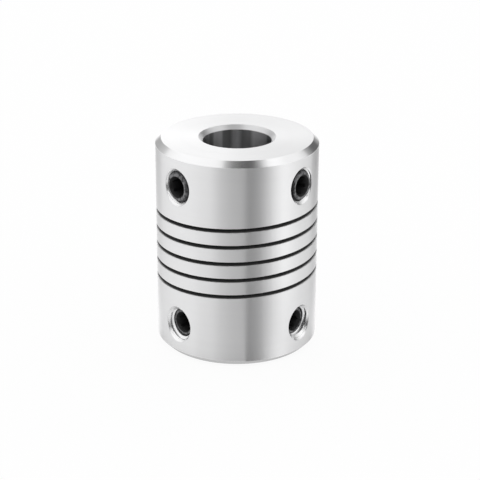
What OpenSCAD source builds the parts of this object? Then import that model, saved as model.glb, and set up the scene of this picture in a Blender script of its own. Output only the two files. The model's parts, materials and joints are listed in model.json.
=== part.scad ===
// Flexible shaft coupling of the helical-beam kind.
// One turned aluminium bar has a bore from each end. A single spiral saw cut opens its
// middle into a flat spring, which bends and still carries torque. Two set screws at each
// end hold a shaft in the bore. The bar stands on its smaller bore, with +Z along its axis.

/* [Body] */
// Outside diameter of the bar
body_d = 19; // [18:0.5:24]
// Length of the bar, end to end
body_l = 25; // [24:0.5:40]
// Size of the 45-degree chamfer round both ends
end_chamfer = 0.65; // [0.2:0.05:0.9]

/* [Bores] */
// Diameter of the bore from the top end
top_bore_d = 8; // [6:0.5:8.5]
// Diameter of the bore from the bottom end
bottom_bore_d = 5; // [3:0.5:5.5]
// Depth of the top bore, from the top end to the start of its drill point
top_bore_depth = 12.5; // [9:0.5:15]
// Half angle of the drill point that joins the two bores
drill_half_angle = 60; // [45:5:75]
// Size of the 45-degree chamfer at the mouth of each bore
mouth_chamfer = 0.5; // [0.2:0.05:0.8]

/* [Spiral slot] */
// Width of the slot, which is the thickness of the saw
slot_w = 0.5; // [0.3:0.05:0.8]
// Height that the slot gains in one turn
slot_pitch = 2.02; // [1.5:0.02:2.2]
// Turns of the slot on the outside wall, from end to end
slot_turns = 5; // [3:0.25:5.5]
// Angle round the bar at which the slot's upper end lies, with the front at -90
slot_end_angle = 25; // [-180:5:180]
// Diameter of the saw, which rounds the floor of the slot at both its ends
saw_d = 30; // [20:1:60]
// How far the saw reaches past the wall of the bottom bore
saw_overcut = 0.3; // [0.1:0.05:0.8]

/* [Set screws] */
// Thread diameter of the screws and of their holes
screw_d = 4; // [3.5:0.5:4.5]
// Height that a screw gains in one turn of its thread
screw_pitch = 0.7; // [0.5:0.1:0.8]
// Length of each screw
screw_l = 4; // [3.5:0.5:4.5]
// Height of the screw holes above or below the nearer end of the bar
screw_from_end = 4; // [3.25:0.25:4.5]
// Angle round the bar of the two screws on the left, with the front at -90
left_angle = -136.5; // [-150:0.5:-120]
// Angle round the bar of the two screws on the right, with the front at -90
right_angle = -38; // [-60:0.5:-30]
// Gap round a screw in its hole
screw_gap = 0.05; // [0.02:0.01:0.1]
// Size of the 45-degree countersink where a screw hole meets the outside wall
hole_chamfer = 0.25; // [0.1:0.05:0.4]
// Depth of the upper left screw's face below the outside wall
upper_left_sink = 0.1; // [0.1:0.05:0.9]
// Depth of the upper right screw's face below the outside wall
upper_right_sink = 0.1; // [0.1:0.05:0.9]
// Depth of the lower left screw's face below the outside wall
lower_left_sink = 0.9; // [0.1:0.05:1.8]
// Depth of the lower right screw's face below the outside wall
lower_right_sink = 0.9; // [0.1:0.05:1.8]

/* [Socket and point] */
// Width across the flats of the hexagonal socket
socket_af = 2; // [1.5:0.1:2]
// Depth of the socket's flats
socket_depth = 1.8; // [1:0.1:2]
// Diameter of the countersink at the socket's mouth
socket_mouth_d = 2.5; // [2.4:0.05:2.7]
// Size of the 45-degree chamfer round the socket end of a screw
screw_chamfer = 0.35; // [0.2:0.05:0.38]
// Diameter of the cup's rim at the point of a screw
cup_d = 2; // [1.6:0.1:2.4]
// Half angle of the hollow cup and of the socket's drill point
cup_half_angle = 60; // [50:5:70]

/* [Hidden] */
$fn = 96;

aluminium = [0.80, 0.81, 0.83];
blackened_steel = [0.09, 0.09, 0.10];

// Extra length of a cutter past the surface that it opens
cut_past = 1;
body_r = body_d / 2;
top_bore_r = top_bore_d / 2;
bottom_bore_r = bottom_bore_d / 2;
step_z = body_l - top_bore_depth;
step_h = (top_bore_r - bottom_bore_r) / tan(drill_half_angle);
upper_z = body_l - screw_from_end;
lower_z = screw_from_end;

hole_r = screw_d / 2;
screw_r = hole_r - screw_gap;
socket_r = socket_af / 2;
socket_corner_r = socket_r / cos(30);
mouth_r = socket_mouth_d / 2;
cup_r = cup_d / 2;

// The saw stands beside the bar, with its rim just inside the bottom bore.
saw_r = saw_d / 2;
saw_axis_r = bottom_bore_r - saw_overcut + saw_r;
// Angle on the saw, from its deepest point to where a radius of the bar touches its rim
saw_touch = acos(saw_r / saw_axis_r);
// The same point as an angle round the bar, which is how far each end of the slot runs out
run_out = asin(saw_r / saw_axis_r);
slot_outer_r = body_r + cut_past;
upper_end = slot_end_angle;
lower_end = slot_end_angle - 360 * slot_turns;
// Rings of the slot's solid in a full turn, and in the run-out at each end
turn_rings = 48;
run_rings = 8;
full_rings = ceil((upper_end - lower_end - 2 * run_out) * turn_rings / 360);

// Height of the slot's middle at an angle, with the whole slot centred on the bar's length
function slot_z(angle) = body_l / 2 + slot_pitch * (angle - (upper_end + lower_end) / 2) / 360;

// A ring is [angle round the bar, inner radius of the slot there].
function run_ring(t) = let (x = saw_axis_r - saw_r * cos(t), y = saw_r * sin(t))
    [atan2(y, x), norm([x, y])];

slot_rings = [
    for (i = [run_rings:-1:1]) let (g = run_ring(saw_touch * i / run_rings))
        [lower_end + run_out - g[0], g[1]],
    for (i = [0:full_rings]) let (f = i / full_rings)
        [lower_end + run_out + f * (upper_end - lower_end - 2 * run_out), saw_axis_r - saw_r],
    for (i = [1:run_rings]) let (g = run_ring(saw_touch * i / run_rings))
        [upper_end - run_out + g[0], g[1]]
];

// The four corners of the slot's section at one ring
function slot_section(ring) = [
    for (c = [[ring[1], -1], [slot_outer_r, -1], [slot_outer_r, 1], [ring[1], 1]])
        [c[0] * cos(ring[0]), c[0] * sin(ring[0]), slot_z(ring[0]) + c[1] * slot_w / 2]
];

// A solid swept through sections of four corners each
module sweep(sections) {
    n = len(sections);
    polyhedron(
        points = [for (s = sections) each s],
        faces = [
            [2, 1, 0], [3, 2, 0],
            for (i = [0:n - 2], k = [0:3])
                let (a = 4 * i + k, b = 4 * i + (k + 1) % 4)
                each [[b + 4, a + 4, a], [b, b + 4, a]],
            [4 * n - 4, 4 * n - 3, 4 * n - 2], [4 * n - 4, 4 * n - 2, 4 * n - 1]
        ]
    );
}

module spiral_slot() {
    sweep([for (ring = slot_rings) slot_section(ring)]);
}

// The bar as turned: chamfered ends, and both bores with the drill point between them
module turned_bar() {
    rotate_extrude()
        polygon([
            [bottom_bore_r + mouth_chamfer, 0], [body_r - end_chamfer, 0],
            [body_r, end_chamfer], [body_r, body_l - end_chamfer],
            [body_r - end_chamfer, body_l], [top_bore_r + mouth_chamfer, body_l],
            [top_bore_r, body_l - mouth_chamfer], [top_bore_r, step_z],
            [bottom_bore_r, step_z - step_h], [bottom_bore_r, mouth_chamfer]
        ]);
}

// Puts what is drawn along +Z on a radius of the bar, with its origin at the stated radius
module on_radius(angle, z, r) {
    rotate([0, 0, angle])
        translate([r, 0, z])
            rotate([0, 90, 0])
                children();
}

// Screw hole from inside the bores outwards, with its countersink
module screw_hole(angle, z) {
    on_radius(angle, z, 0)
        rotate_extrude()
            polygon([
                [0, bottom_bore_r / 2], [hole_r, bottom_bore_r / 2],
                [hole_r, body_r - hole_chamfer],
                [hole_r + hole_chamfer + cut_past, body_r + cut_past], [0, body_r + cut_past]
            ]);
}

module coupling_body() {
    color(aluminium)
        difference() {
            turned_bar();
            spiral_slot();
            for (z = [lower_z, upper_z], angle = [left_angle, right_angle])
                screw_hole(angle, z);
        }
}

// Hexagonal socket with a countersunk mouth and a drill point, cut down from z = 0
module hex_socket() {
    translate([0, 0, -socket_depth])
        cylinder(r = socket_corner_r, h = socket_depth + cut_past, $fn = 6);
    translate([0, 0, -socket_depth - socket_r / tan(cup_half_angle)])
        cylinder(r1 = 0, r2 = socket_r, h = socket_r / tan(cup_half_angle));
    translate([0, 0, socket_r - mouth_r])
        cylinder(r1 = socket_r, r2 = mouth_r + cut_past, h = mouth_r - socket_r + cut_past);
}

// Set screw with its socket's face at z = 0 and its cup point at z = -screw_l
module set_screw() {
    tip_h = screw_r - cup_r;
    difference() {
        rotate_extrude()
            polygon([
                [0, 0], [screw_r - screw_chamfer, 0], [screw_r, -screw_chamfer],
                [screw_r, tip_h - screw_l], [cup_r, -screw_l],
                [0, cup_r / tan(cup_half_angle) - screw_l]
            ]);
        hex_socket();
    }
}

// A screw turns as it sinks, so its socket's angle follows its depth and its thread.
module placed_screw(angle, z, sink) {
    color(blackened_steel)
        on_radius(angle, z, body_r - sink)
            rotate([0, 0, -360 * sink / screw_pitch])
                set_screw();
}

module set_screw_upper_left() {
    placed_screw(left_angle, upper_z, upper_left_sink);
}

module set_screw_upper_right() {
    placed_screw(right_angle, upper_z, upper_right_sink);
}

module set_screw_lower_left() {
    placed_screw(left_angle, lower_z, lower_left_sink);
}

module set_screw_lower_right() {
    placed_screw(right_angle, lower_z, lower_right_sink);
}

coupling_body();
set_screw_upper_left();
set_screw_upper_right();
set_screw_lower_left();
set_screw_lower_right();
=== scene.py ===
"""Looks of a helical-beam shaft coupling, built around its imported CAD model.

The turned body stays the CAD solid and gets a turned-aluminium finish. Each screw hole gets the
ridges of its thread, and each set screw is replaced by one with a real thread, hexagonal socket and
cup point. Everything is in metres, in the frame of the CAD model: +Z runs up the coupling's axis.
"""

import json
import math

import bmesh
import bpy
from mathutils import Matrix, Vector


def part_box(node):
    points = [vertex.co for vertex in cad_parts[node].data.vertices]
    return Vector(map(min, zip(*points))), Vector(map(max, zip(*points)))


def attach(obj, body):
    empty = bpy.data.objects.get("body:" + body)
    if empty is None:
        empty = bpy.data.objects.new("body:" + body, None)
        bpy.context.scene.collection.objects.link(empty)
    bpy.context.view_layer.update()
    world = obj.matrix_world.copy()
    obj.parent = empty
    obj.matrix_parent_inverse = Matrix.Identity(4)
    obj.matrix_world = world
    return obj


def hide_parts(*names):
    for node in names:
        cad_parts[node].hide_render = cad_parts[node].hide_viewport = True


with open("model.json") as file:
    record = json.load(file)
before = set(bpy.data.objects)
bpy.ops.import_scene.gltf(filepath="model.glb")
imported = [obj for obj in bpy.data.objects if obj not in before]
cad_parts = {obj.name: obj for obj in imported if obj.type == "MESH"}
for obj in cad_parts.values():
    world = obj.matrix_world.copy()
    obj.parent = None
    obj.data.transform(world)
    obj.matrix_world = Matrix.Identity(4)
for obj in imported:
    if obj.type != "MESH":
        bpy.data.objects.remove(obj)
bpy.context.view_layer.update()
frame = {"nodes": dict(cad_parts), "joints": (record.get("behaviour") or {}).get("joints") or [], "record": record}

MM = 0.001

# Sizes of the coupling that are read from the frame
body_low, body_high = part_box("coupling_body")
body_r = (body_high.x - body_low.x) / 2
body_l = body_high.z - body_low.z
bore_radii = {
    m["name"]: m["dims"]["r_mm"] * MM for m in frame["record"]["mounts"] if m["kind"] == "bore"
}
top_bore_r = bore_radii["shaft_bore_8"]
bottom_bore_r = bore_radii["shaft_bore_5"]
bore_r_of_row = {"upper": top_bore_r, "lower": bottom_bore_r}

# Sizes that are the same as in the part's source
end_chamfer = 0.65 * MM
mouth_chamfer = 0.5 * MM
step_z = body_l - 12.5 * MM
drill_half_angle = math.radians(60)
hole_r = 2.0 * MM
hole_chamfer = 0.25 * MM
socket_r = 1.0 * MM
socket_depth = 1.8 * MM
cup_r = 1.0 * MM
cup_half_angle = math.radians(60)

# M4 coarse thread, in the holes and on the screws. A section is the share of the pitch that the
# crest takes, and the share that each flank takes.
thread_pitch = 0.7 * MM
groove_r = hole_r - 0.01 * MM
ridge_r = 1.66 * MM
hole_section = (0.25, 0.30)
crest_r = hole_r - 0.05 * MM
root_r = 1.57 * MM
screw_section = (0.125, 0.33)
# Distance from the bore at which a hole's thread ends. The end depends on the thread's radius there
# and that radius on the end, so both are settled in a few passes.
thread_end_gap = 0.2 * MM
end_passes = 4
# Outside radius of the sleeve that carries a hole's ridges, sunk in the wall of the hole
sleeve_r = hole_r + 0.03 * MM

# Face of a screw, its lip worn grey and partly given a painted highlight, and the countersink of its
# socket. The countersink falls by its steepness while it narrows by one.
face_r = crest_r - 0.45 * MM
lip_r = 1.40 * MM
lip_fall = 0.01 * MM
lip_width = 0.01 * MM
lip_bottom = 0.03 * MM
socket_mouth_r = 1.28 * MM
mouth_steepness = 2.0
# Radius at which the socket's floor turns into its drill point
drill_point_r = 0.98 * socket_r
# Distance from the face at which a screw's thread loses its worn grey, partly a painted highlight
wear_and_highlight_reach = 0.3 * MM

# Mesh columns round a thread, and rows in one turn of it
columns = 96
rows_per_turn = 14
merge_distance = 1e-7
sharp_angle = math.radians(32)

# Angle at which a ridge of each hole's thread crosses the outside wall, seen from outside and
# anticlockwise from the right
thread_starts = {
    "upper_left": math.radians(45),
    "upper_right": math.radians(30),
    "lower_left": math.radians(350),
    "lower_right": math.radians(150),
}


def trapezoid(phase, crest_share, flank_share):
    """Height, 0 to 1, of a thread's section, with its crest centred on whole phases."""
    distance = abs((phase + 0.5) % 1.0 - 0.5)
    rise = (crest_share / 2 + flank_share - distance) / flank_share
    return min(1.0, max(0.0, rise))


def screw_thread_r(angle, w, start):
    """Radius of the outside thread. Its crests lie in the grooves of the hole's thread."""
    phase = w / thread_pitch - (angle - start) / math.tau + 0.5
    return root_r + (crest_r - root_r) * trapezoid(phase, *screw_section)


def hole_thread_r(angle, w, start):
    """Radius of the inside thread, whose ridges reach in from the wall of the hole."""
    phase = w / thread_pitch - (angle - start) / math.tau
    return groove_r - (groove_r - ridge_r) * trapezoid(phase, *hole_section)


def around(r, angle, w):
    return Vector((r * math.cos(angle), r * math.sin(angle), w))


def ring(bm, points):
    return [bm.verts.new(p) for p in points]


def bridge(bm, a, b):
    """Band of faces between two rings of as many vertices."""
    for i in range(len(a)):
        j = (i + 1) % len(a)
        bm.faces.new((a[i], a[j], b[j], b[i]))


def cap(bm, edge, point):
    """Cone of faces between a ring and a point."""
    tip = bm.verts.new(point)
    for i in range(len(edge)):
        bm.faces.new((edge[i], edge[(i + 1) % len(edge)], tip))


def helical_skin(bm, angles, low, high, point):
    """Skin whose rows climb one pitch in a turn, so that they follow the thread.

    point(angle, w) gives a point of the skin and holds w between low and high. Rows past an end
    fall together there. The function returns the skin's ring at each end.
    """
    step = thread_pitch / rows_per_turn
    count = math.ceil((high - low + 2 * thread_pitch) / step) + 2
    first = low - thread_pitch - step
    rows = []
    for i in range(count):
        rows.append(ring(bm, [
            point(a, first + i * step + thread_pitch * j / len(angles))
            for j, a in enumerate(angles)
        ]))
    for i in range(count - 1):
        for j in range(len(angles)):
            right = (j + 1) % len(angles)
            turn = 0 if right else rows_per_turn
            low_right = rows[min(i + turn, count - 1)][right]
            high_right = rows[min(i + 1 + turn, count - 1)][right]
            corners = [rows[i][j], low_right, high_right, rows[i + 1][j]]
            if low_right is high_right:
                corners.remove(high_right)
            bm.faces.new(corners)
    return rows[0], rows[-1]


def finished_piece(bm, name, place, body):
    """Cleans the mesh up and makes it a piece that rides on a body."""
    bmesh.ops.remove_doubles(bm, verts=bm.verts, dist=merge_distance)
    bmesh.ops.dissolve_degenerate(bm, edges=bm.edges, dist=merge_distance)
    bmesh.ops.recalc_face_normals(bm, faces=bm.faces)
    mesh = bpy.data.meshes.new(name)
    bm.to_mesh(mesh)
    bm.free()
    mesh.transform(place)
    mesh.shade_smooth()
    mesh.set_sharp_from_angle(angle=sharp_angle)
    piece = bpy.data.objects.new(name, mesh)
    bpy.context.scene.collection.objects.link(piece)
    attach(piece, body)
    return piece


def hole_place(out, z):
    """Matrix that takes (right, up, outwards), as seen from outside, into the part's frame.

    They start where the hole's axis meets the outside wall. out is that axis, pointing outwards.
    """
    up = Vector((0, 0, 1))
    right = up.cross(out)
    place = Matrix((right, up, out)).transposed().to_4x4()
    place.translation = out * body_r + up * z
    return place


def make_hole_thread(name, out, z, bore_r, start):
    """The thread's ridges in one hole: a sleeve whose outside is sunk in the hole's wall."""
    bm = bmesh.new()
    mouth = -hole_chamfer
    end_r = bore_r + thread_end_gap
    angles = [start + math.tau * j / columns for j in range(columns)]

    def end_w(r, a):
        """w at which a line along the hole, at radius r and angle a, comes down to end_r."""
        return math.sqrt(end_r ** 2 - (r * math.cos(a)) ** 2) - body_r

    def inner_r(a, w):
        countersink_r = hole_r + hole_chamfer + w
        return min(groove_r, max(hole_thread_r(a, w, start), countersink_r))

    def inner(a, w):
        end = end_w(groove_r, a)
        for _ in range(end_passes):
            end = end_w(inner_r(a, end), a)
        w = max(min(w, mouth), end)
        return around(inner_r(a, w), a, w)

    low, high = helical_skin(bm, angles, -body_r, mouth, inner)
    outer_low = ring(bm, [around(sleeve_r, a, end_w(sleeve_r, a)) for a in angles])
    outer_high = ring(bm, [around(sleeve_r, a, mouth) for a in angles])
    bridge(bm, low, outer_low)
    bridge(bm, outer_low, outer_high)
    bridge(bm, outer_high, high)
    return finished_piece(bm, name, hole_place(out, z), "coupling")


def make_set_screw(name, node, body, out, z, start):
    """Threaded set screw in place of its plain CAD node, at the same depth and socket angle."""
    reach = [v.co.dot(out) for v in frame["nodes"][node].data.vertices]
    sink = body_r - max(reach)
    length = max(reach) - min(reach)
    turn = -math.tau * sink / thread_pitch
    socket_angle = turn - math.pi / 2
    bm = bmesh.new()
    wear_and_highlight = bm.verts.layers.float.new("wear_and_highlight")
    recess = bm.verts.layers.float.new("recess")
    angles = [socket_angle + math.tau * j / columns for j in range(columns)]

    def side(a, w):
        w = max(min(w, -sink), -sink - length)
        from_face = -sink - w
        from_point = length - from_face
        r = min(screw_thread_r(a, w, start), face_r + from_face, cup_r + from_point)
        return around(r, a, w)

    def socket_edge_r(a):
        """Radius of the socket's hexagon."""
        from_flat = (a - socket_angle) % (math.pi / 3) - math.pi / 6
        return socket_r / math.cos(from_flat)

    def socket_edge_w(a):
        return -sink - mouth_steepness * (socket_mouth_r - socket_edge_r(a))

    def level(r, depth, layer=None):
        """Ring about the screw's axis, at a depth below its face. layer marks its vertices."""
        made = ring(bm, [around(r(a) if callable(r) else r, a, -sink - depth) for a in angles])
        for v in made:
            if layer:
                v[layer] = 1.0
        return made

    low, high = helical_skin(bm, angles, -sink - length, -sink, side)
    # Worn grey from the face down the thread, partly a painted highlight
    for v in bm.verts:
        v[wear_and_highlight] = max(0.0, 1.0 - (-sink - v.co.z) / wear_and_highlight_reach)
    edge = ring(bm, [around(socket_edge_r(a), a, socket_edge_w(a)) for a in angles])
    for v in edge:
        v[recess] = 1.0
    levels = [
        high,
        level(lip_r, 0.0, wear_and_highlight),
        level(socket_mouth_r, lip_fall, wear_and_highlight),
        level(socket_mouth_r - lip_width, lip_bottom, recess),
        edge,
        level(socket_edge_r, socket_depth, recess),
        level(drill_point_r, socket_depth, recess),
    ]
    for outer, inner in zip(levels, levels[1:]):
        bridge(bm, outer, inner)
    drill_depth = socket_depth + socket_r / math.tan(cup_half_angle)
    cap(bm, levels[-1], Vector((0, 0, -sink - drill_depth)))
    cap(bm, low, Vector((0, 0, -sink - length + cup_r / math.tan(cup_half_angle))))
    piece = finished_piece(bm, name, hole_place(out, z), body)
    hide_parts(node)
    return piece


threads = []
screws = []
for joint in frame["joints"]:
    corner = joint["child"].removesuffix("_screw")
    node = "set_screw_" + corner
    out = -Vector(joint["axis"])
    low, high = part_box(node)
    z = (low.z + high.z) / 2
    start = thread_starts[corner]
    bore_r = bore_r_of_row[corner.split("_")[0]]
    threads.append(make_hole_thread("hole_thread_" + corner, out, z, bore_r, start))
    screws.append(make_set_screw("threaded_screw_" + corner, node, joint["child"], out, z, start))


class Shader:
    """A material's nodes, made by short calls that return output sockets."""

    def __init__(self, name):
        self.material = bpy.data.materials.new(name)
        self.material.use_nodes = True
        self.tree = self.material.node_tree
        self.surface = self.tree.nodes["Principled BSDF"]

    def node(self, kind, **settings):
        made = self.tree.nodes.new(kind)
        for key, value in settings.items():
            setattr(made, key, value)
        return made

    def feed(self, socket, value):
        """Links an output to the socket, or sets the socket to a plain value."""
        if isinstance(value, bpy.types.NodeSocket):
            self.tree.links.new(value, socket)
        else:
            socket.default_value = value

    def math(self, operation, a, b=0.0, clamp=False):
        made = self.node("ShaderNodeMath", operation=operation, use_clamp=clamp)
        self.feed(made.inputs[0], a)
        self.feed(made.inputs[1], b)
        return made.outputs[0]

    def length(self, x, y):
        """Length of the vector (x, y)."""
        squares = [self.math("MULTIPLY", side, side) for side in (x, y)]
        return self.math("SQRT", self.math("ADD", *squares))

    def step(self, value, start, end):
        """0 before start and 1 past end, with a straight ramp between."""
        made = self.node("ShaderNodeMapRange")
        self.feed(made.inputs["Value"], value)
        made.inputs["From Min"].default_value = start
        made.inputs["From Max"].default_value = end
        return made.outputs[0]

    def mix(self, share, a, b):
        made = self.node("ShaderNodeMix", data_type="FLOAT")
        self.feed(made.inputs["Factor"], share)
        self.feed(made.inputs["A"], a)
        self.feed(made.inputs["B"], b)
        return made.outputs["Result"]

    def mix_colour(self, share, a, b):
        """Mixed colour. The colour sockets share their names with others, so they go by place."""
        made = self.node("ShaderNodeMix", data_type="RGBA")
        self.feed(made.inputs[0], share)
        self.feed(made.inputs[6], a)
        self.feed(made.inputs[7], b)
        return made.outputs[2]

    def place(self):
        """The x, y and z of the point in the part's frame."""
        coordinates = self.node("ShaderNodeTexCoord")
        xyz = self.node("ShaderNodeSeparateXYZ")
        self.feed(xyz.inputs[0], coordinates.outputs["Object"])
        return xyz.outputs

    def lines(self, place, size, detail=2.0):
        """Noise along one coordinate only, as in the marks of a lathe tool."""
        made = self.node("ShaderNodeTexNoise", noise_dimensions="1D")
        self.feed(made.inputs["W"], place)
        made.inputs["Scale"].default_value = 1 / size
        made.inputs["Detail"].default_value = detail
        return made.outputs["Fac"]

    def grain(self, size, detail=2.0):
        """Noise in all directions."""
        coordinates = self.node("ShaderNodeTexCoord").outputs["Object"]
        made = self.node("ShaderNodeTexNoise")
        self.feed(made.inputs["Vector"], coordinates)
        made.inputs["Scale"].default_value = 1 / size
        made.inputs["Detail"].default_value = detail
        return made.outputs["Fac"]

    def bump(self, height, depth, strength=1.0):
        made = self.node("ShaderNodeBump")
        self.feed(made.inputs["Height"], height)
        made.inputs["Distance"].default_value = depth
        made.inputs["Strength"].default_value = strength
        return made.outputs["Normal"]


# Aluminium. Its tone varies softly with the tool marks, painted shade darkens the bores in streaks, and
# painted shade darkens the saw cut below the wall.
wall_colours = [(0.91, 0.91, 0.915, 1), (0.88, 0.88, 0.885, 1)]
# The bores' two darker colours are painted shade.
bore_painted_shade_colours = [(0.25, 0.25, 0.255, 1), (0.52, 0.52, 0.53, 1)]
# The saw cut's dark colour is painted shade, deeper below the wall.
slot_painted_shade_colour = (0.10, 0.10, 0.10, 1)
wall_roughness = 0.37
face_roughness = 0.2
chamfer_roughness = 0.12
mouth_roughness = 0.38
bore_roughness = 0.3
slot_roughness = 0.75
# Radii that part the wall from what lies inside it, and those between which painted shade darkens the saw cut
inside_edge = (body_r - 0.02 * MM, body_r - 0.06 * MM)
slot_painted_shade_radii = (body_r - 0.02 * MM, body_r - 0.20 * MM)
# Radii that part the bores from the rest, and distances from a bore's wall that part the saw cut
# from it
bore_edge = (top_bore_r + 0.04 * MM, top_bore_r + 0.01 * MM)
off_bore = (0.03 * MM, 0.06 * MM)
# Distances before a chamfer's start between which its mask sets in
chamfer_edge = (0.05 * MM, 0.02 * MM)
# Height above and below the body's middle that holds the whole saw cut
slot_reach = 5.6 * MM
# Sizes of the tool marks and of the shade. Both follow the height plus a part of the radius, so that
# they run round the wall and the end faces alike.
mark_size = 0.09 * MM
mark_depth = 0.0005 * MM
shade_size = 1.2 * MM
radius_part = 0.7
# Streaks of the bores: their size and start, both in radians, and the noise levels of their edges
streak_size = 0.5
streak_start = 55.94
streak_levels = (0.4, 0.5)


def make_aluminium():
    """Turned aluminium, with its own look on each kind of the body's surfaces."""
    s = Shader("turned_aluminium_looks")
    x, y, z = s.place()
    radius = s.length(x, y)
    profile = s.math("ADD", z, s.math("MULTIPLY", radius, radius_part))
    from_middle = s.math("ABSOLUTE", s.math("SUBTRACT", z, body_l / 2))

    inside = s.step(radius, *inside_edge)
    middle = s.math("LESS_THAN", from_middle, slot_reach)
    cone_r = s.math("ADD", s.math("MULTIPLY", s.math("SUBTRACT", z, step_z),
                                  math.tan(drill_half_angle)), top_bore_r)
    bore_r = s.math("MINIMUM", s.math("MAXIMUM", cone_r, bottom_bore_r), top_bore_r)
    outside_bore = s.step(s.math("SUBTRACT", radius, bore_r), *off_bore)
    slot = s.math("MULTIPLY", s.math("MULTIPLY", inside, middle), outside_bore)
    # Painted shade in the saw cut, darker below the wall
    slot_painted_shade_mask = s.math("MULTIPLY", slot, s.step(radius, *slot_painted_shade_radii))
    bore = s.step(radius, *bore_edge)
    chamfer_start = body_r + body_l / 2 - end_chamfer
    chamfer = s.step(s.math("ADD", from_middle, radius), *[chamfer_start - e for e in chamfer_edge])
    mouth_start = body_l / 2 - top_bore_r - mouth_chamfer
    mouth = s.step(s.math("SUBTRACT", from_middle, radius), *[mouth_start - e for e in chamfer_edge])

    # Painted shade in the bores, in streaks round them
    angle = s.math("ADD", s.math("ARCTAN2", y, x), streak_start)
    streaks = s.step(s.lines(angle, streak_size, detail=0.0), *streak_levels)
    colour = s.mix_colour(s.lines(profile, shade_size), *wall_colours)
    colour = s.mix_colour(bore, colour, s.mix_colour(streaks, *bore_painted_shade_colours))
    colour = s.mix_colour(slot_painted_shade_mask, colour, slot_painted_shade_colour)
    s.feed(s.surface.inputs["Base Color"], colour)

    rough = s.mix(inside, wall_roughness, face_roughness)
    rough = s.mix(chamfer, rough, chamfer_roughness)
    rough = s.mix(mouth, rough, mouth_roughness)
    rough = s.mix(bore, rough, bore_roughness)
    rough = s.mix(slot, rough, slot_roughness)
    s.feed(s.surface.inputs["Roughness"], rough)

    # The saw cut is matt, and all the rest is metal. A quarter turn stretches its sheen across the
    # tool marks.
    s.feed(s.surface.inputs["Metallic"], s.mix(slot, 1.0, 0.0))
    s.surface.inputs["Specular IOR Level"].default_value = 0.0
    s.surface.inputs["Anisotropic"].default_value = 1.0
    s.surface.inputs["Anisotropic Rotation"].default_value = 0.25
    tangent = s.node("ShaderNodeTangent", direction_type="RADIAL", axis="Z")
    s.feed(s.surface.inputs["Tangent"], tangent.outputs[0])
    marks = s.lines(profile, mark_size, detail=3.0)
    s.feed(s.surface.inputs["Normal"], s.bump(marks, mark_depth))
    return s.material


# Black oxide, with the size of its blotches and of the worn patches, whose grey is partly a painted highlight
oxide_colours = [(0.010, 0.010, 0.011, 1), (0.034, 0.034, 0.036, 1)]
oxide_roughness = (0.34, 0.46)
blotch_size = 0.5 * MM
worn_and_highlight_colour = (0.22, 0.22, 0.225, 1)
wear_and_highlight_size = 0.3 * MM
wear_and_highlight_levels = (0.28, 0.58)
# Down in the socket the oxide is painted lighter: painted light on its flats.
socket_painted_light_colour = (0.065, 0.065, 0.066, 1)
socket_roughness = 0.6
pit_size = 0.06 * MM
pit_depth = 0.002 * MM
pit_strength = 0.6


def make_black_steel():
    """Black oxide, patchily worn to grey round each socket, a grey that is partly a painted highlight, and matt
    and painted lighter down in the socket.
    """
    s = Shader("black_oxide_looks")
    blotches = s.grain(blotch_size, detail=4.0)
    wear_and_highlight = s.node("ShaderNodeAttribute", attribute_name="wear_and_highlight").outputs["Fac"]
    recess = s.node("ShaderNodeAttribute", attribute_name="recess").outputs["Fac"]
    # Worn grey patches on the lip and thread top, partly a painted highlight
    rubbed_and_highlight = s.math("MULTIPLY", wear_and_highlight, s.step(s.grain(wear_and_highlight_size), *wear_and_highlight_levels))
    colour = s.mix_colour(blotches, *oxide_colours)
    colour = s.mix_colour(rubbed_and_highlight, colour, worn_and_highlight_colour)
    # Painted light: a lighter tone down in the socket
    colour = s.mix_colour(recess, colour, socket_painted_light_colour)
    s.feed(s.surface.inputs["Base Color"], colour)
    s.surface.inputs["Metallic"].default_value = 1.0
    rough = s.mix(recess, s.mix(blotches, *oxide_roughness), socket_roughness)
    s.feed(s.surface.inputs["Roughness"], rough)
    s.feed(s.surface.inputs["Normal"], s.bump(s.grain(pit_size), pit_depth, pit_strength))
    return s.material


def dress(piece, material):
    piece.data.materials.clear()
    piece.data.materials.append(material)


aluminium = make_aluminium()
black_steel = make_black_steel()
dress(frame["nodes"]["coupling_body"], aluminium)
for piece in threads:
    dress(piece, aluminium)
for piece in screws:
    dress(piece, black_steel)


# Studio: a pale floor just below the coupling
floor_z = -0.02 * MM
floor_half = 0.6
floor_colour = (0.95, 0.95, 0.95, 1)
floor_roughness = 0.9
floor_glow_share = 0.9

# The cards that the metal mirrors are a dome and a disc on the table
card_r = 100 * MM
table_card_z = 0.05 * MM
table_card_inner_r = body_r - 1.2 * MM
card_steps = 90
dome_ring_degrees = range(0, 90, 3)

# Tones of the cards: pairs of an angle round the coupling, 0 at the front and positive to the right,
# and a strength there
brightest_tone = 1.5
dome_tones = [
    (-180, 1.03), (-172, 1.14), (-163, 0.95), (-156, 0.60), (-150, 0.45), (-132, 0.56), (-125, 0.66),
    (-117, 1.0), (-90, 1.08), (-60, 1.04), (-40, 1.0), (-27, 0.6), (-14, 0.26), (0, 0.08),
    (14, 0.02), (29, 0.06), (38, 0.19), (46, 0.38), (57, 0.8), (70, 1.1), (90, 0.98), (115, 0.85),
    (122, 0.42), (128, 0.28), (134, 0.15), (142, 0.14), (148, 0.24), (163, 0.75), (170, 0.96),
    (180, 1.03),
]
table_tones = [
    (-180, 1.5), (-168, 1.4), (-150, 0.86), (-75, 0.92), (-48, 0.77), (-17, 0.79), (11, 0.77),
    (17, 0.41), (28, 0.48), (50, 1.0), (66, 1.22), (88, 0.98), (125, 0.84), (144, 0.84),
    (156, 1.0), (166, 1.4), (180, 1.5),
]
# The metal sees the near part of the table at a wider angle than the coupling's axis does.
table_parallax = 5 * MM
# Elevations between which the tones of the dome fade out towards its top, and the tone up there
dome_fade = (math.radians(72), math.radians(76))
dome_top_tone = 0.84
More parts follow.
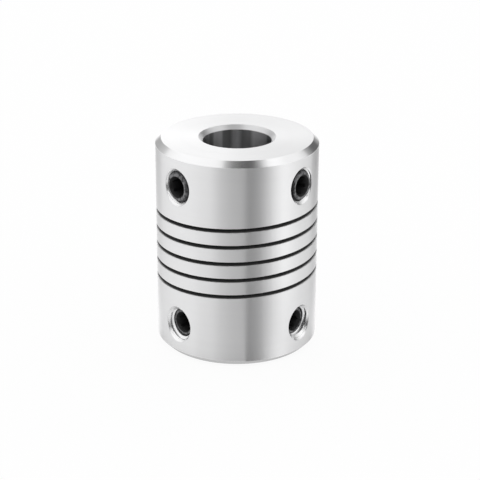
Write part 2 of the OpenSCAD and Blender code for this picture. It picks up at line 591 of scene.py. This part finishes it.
# Elevations of the bright gap between the low and the high part of the dome, each with its soft edge
dome_gap = [math.radians(e) for e in (30, 35, 46, 54)]
dome_gap_tone = 1.1
# The gap is only in front of the coupling. These places on the Y axis are its soft ends.
dome_gap_sides = (30 * MM, 0 * MM)
# Radii between which the table's card leaves the coupling's own shade, and how much is left of its
# tones in there
table_shade = (9.0 * MM, 13.0 * MM)
table_shade_tone = 0.7
# Right under the coupling, the card has one tone all round, a painted shade under the coupling.
table_under = (body_r - 0.2 * MM, body_r)
table_under_tone = 0.54
# Patch of soft shadow on the table, to the right of the coupling's front: its middle, the radii
# between which it fades out, and how much is left of the card's tones in it
shadow_middle = (14 * MM, -14 * MM)
shadow_reach = (3 * MM, 9.5 * MM)
shadow_tone = 0.7

# Camera, at the place that was fitted to the photo's edges. It aims at a point near the axis from
# straight in front, and its focal length is given as a share of the picture's width.
camera_aim = Vector((0.370, 0, 12.034)) * MM
camera_distance = 181.825 * MM
camera_elevation = math.radians(21.944)
camera_roll = math.radians(0.231)
focal_share = 1528.849 / 480
sensor_width_mm = 36
clip_start = 0.01


def make_camera():
    back = Vector((0, -math.cos(camera_elevation), math.sin(camera_elevation)))
    up = Vector((0, math.sin(camera_elevation), math.cos(camera_elevation)))
    right = Vector((1, 0, 0))
    turned_right = math.cos(camera_roll) * right + math.sin(camera_roll) * up
    turned_up = math.cos(camera_roll) * up - math.sin(camera_roll) * right
    data = bpy.data.cameras.new("camera")
    data.sensor_width = sensor_width_mm
    data.lens = data.sensor_width * focal_share
    data.clip_start = clip_start
    camera = bpy.data.objects.new("camera", data)
    camera.matrix_world = Matrix((turned_right, turned_up, back)).transposed().to_4x4()
    camera.location = camera_aim + back * camera_distance
    bpy.context.scene.collection.objects.link(camera)
    bpy.context.scene.camera = camera


def sees_background(s):
    """1 for the rays that should meet a white background: straight, mirrored and refracted ones."""
    path = s.node("ShaderNodeLightPath")
    rays = s.math("ADD", path.outputs["Is Camera Ray"], path.outputs["Is Glossy Ray"])
    return s.math("ADD", rays, path.outputs["Is Transmission Ray"], clamp=True)


def make_stage_mesh(name, points, faces, material):
    mesh = bpy.data.meshes.new(name)
    mesh.from_pydata(points, [], faces)
    stage = bpy.data.objects.new(name, mesh)
    bpy.context.scene.collection.objects.link(stage)
    dress(stage, material)
    return stage


def make_floor():
    """Pale floor. Part of its white is its own, so that the shadow on it stays light."""
    s = Shader("floor")
    s.surface.inputs["Base Color"].default_value = floor_colour
    s.surface.inputs["Roughness"].default_value = floor_roughness
    s.surface.inputs["Specular IOR Level"].default_value = 0.0
    glow = s.node("ShaderNodeEmission")
    mix = s.node("ShaderNodeMixShader")
    s.feed(mix.inputs[0], s.math("MULTIPLY", sees_background(s), floor_glow_share))
    s.feed(mix.inputs[1], s.surface.outputs[0])
    s.feed(mix.inputs[2], glow.outputs[0])
    s.feed(s.tree.nodes["Material Output"].inputs["Surface"], mix.outputs[0])
    corners = [(-1, -1), (1, -1), (1, 1), (-1, 1)]
    points = [(x * floor_half, y * floor_half, floor_z) for x, y in corners]
    make_stage_mesh("floor", points, [(0, 1, 2, 3)], s.material)


def tone_round(s, x, y, tones, stretch=1.0):
    """Strength that follows tones round the coupling's axis. stretch widens the angle there."""
    angle = s.math("ARCTAN2", x, s.math("MULTIPLY", y, -1))
    angle = s.math("MULTIPLY", angle, stretch)
    made = s.node("ShaderNodeFloatCurve")
    s.feed(made.inputs["Value"], s.step(angle, -math.pi, math.pi))
    points = made.mapping.curves[0].points
    places = [(degrees / 360 + 0.5, tone / brightest_tone) for degrees, tone in tones]
    points[0].location = places[0]
    points[1].location = places[-1]
    for place in places[1:-1]:
        points.new(*place)
    for point in points:
        point.handle_type = "AUTO_CLAMPED"
    made.mapping.update()
    return s.math("MULTIPLY", made.outputs[0], brightest_tone)


def make_card(name, profile, shade):
    """Card turned about the coupling's axis from (radius, z) pairs. Only the metal mirrors it.

    shade(s, x, y, z) makes the nodes for the card's tone at a point.
    """
    points = []
    for i in range(card_steps):
        a = math.tau * i / card_steps
        points += [(r * math.sin(a), -r * math.cos(a), z) for r, z in profile]
    n = len(profile)
    faces = []
    for i in range(card_steps):
        here, there = i * n, (i + 1) % card_steps * n
        faces += [(here + k, there + k, there + k + 1, here + k + 1) for k in range(n - 1)]
    s = Shader(name)
    glow = s.node("ShaderNodeEmission")
    s.feed(glow.inputs["Strength"], shade(s, *s.place()))
    s.feed(s.tree.nodes["Material Output"].inputs["Surface"], glow.outputs[0])
    card = make_stage_mesh(name, points, faces, s.material)
    card.visible_camera = False
    card.visible_diffuse = False
    card.visible_shadow = False
    card.visible_transmission = False


def dome_tone(s, x, y, z):
    top = s.step(z, *[card_r * math.sin(e) for e in dome_fade])
    gap_start = s.step(z, *[card_r * math.sin(e) for e in dome_gap[:2]])
    gap_end = s.step(z, *[card_r * math.sin(e) for e in dome_gap[2:]])
    gap = s.math("MULTIPLY", s.math("SUBTRACT", gap_start, gap_end), s.step(y, *dome_gap_sides))
    tone = s.mix(gap, tone_round(s, x, y, dome_tones), dome_gap_tone)
    return s.mix(top, tone, dome_top_tone)


def table_tone(s, x, y, _z):
    radius = s.length(x, y)
    stretch = s.math("DIVIDE", radius, s.math("SUBTRACT", radius, table_parallax))
    tone = tone_round(s, x, y, table_tones, stretch)
    tone = s.math("MULTIPLY", tone, s.mix(s.step(radius, *table_shade), table_shade_tone, 1.0))
    from_shadow = s.length(*[s.math("SUBTRACT", at, middle)
                             for at, middle in zip((x, y), shadow_middle)])
    tone = s.math("MULTIPLY", tone, s.mix(s.step(from_shadow, *shadow_reach), shadow_tone, 1.0))
    return s.mix(s.step(radius, *table_under), table_under_tone, tone)


def make_cards():
    """Studio cards round the coupling, which its metal mirrors as dark and bright bands."""
    rise = [math.radians(e) for e in dome_ring_degrees]
    arc = [(card_r * math.cos(e), card_r * math.sin(e)) for e in rise]
    flat = [(table_card_inner_r, table_card_z), (card_r, table_card_z)]
    make_card("dome_card", arc, dome_tone)
    make_card("table_card", flat, table_tone)


def make_world():
    world = bpy.data.worlds.new("studio")
    world.use_nodes = True
    background = world.node_tree.nodes["Background"]
    background.inputs["Color"].default_value = (1, 1, 1, 1)
    background.inputs["Strength"].default_value = 1.0
    bpy.context.scene.world = world


make_camera()
make_floor()
make_cards()
make_world()
bpy.context.scene.view_settings.view_transform = "Standard"
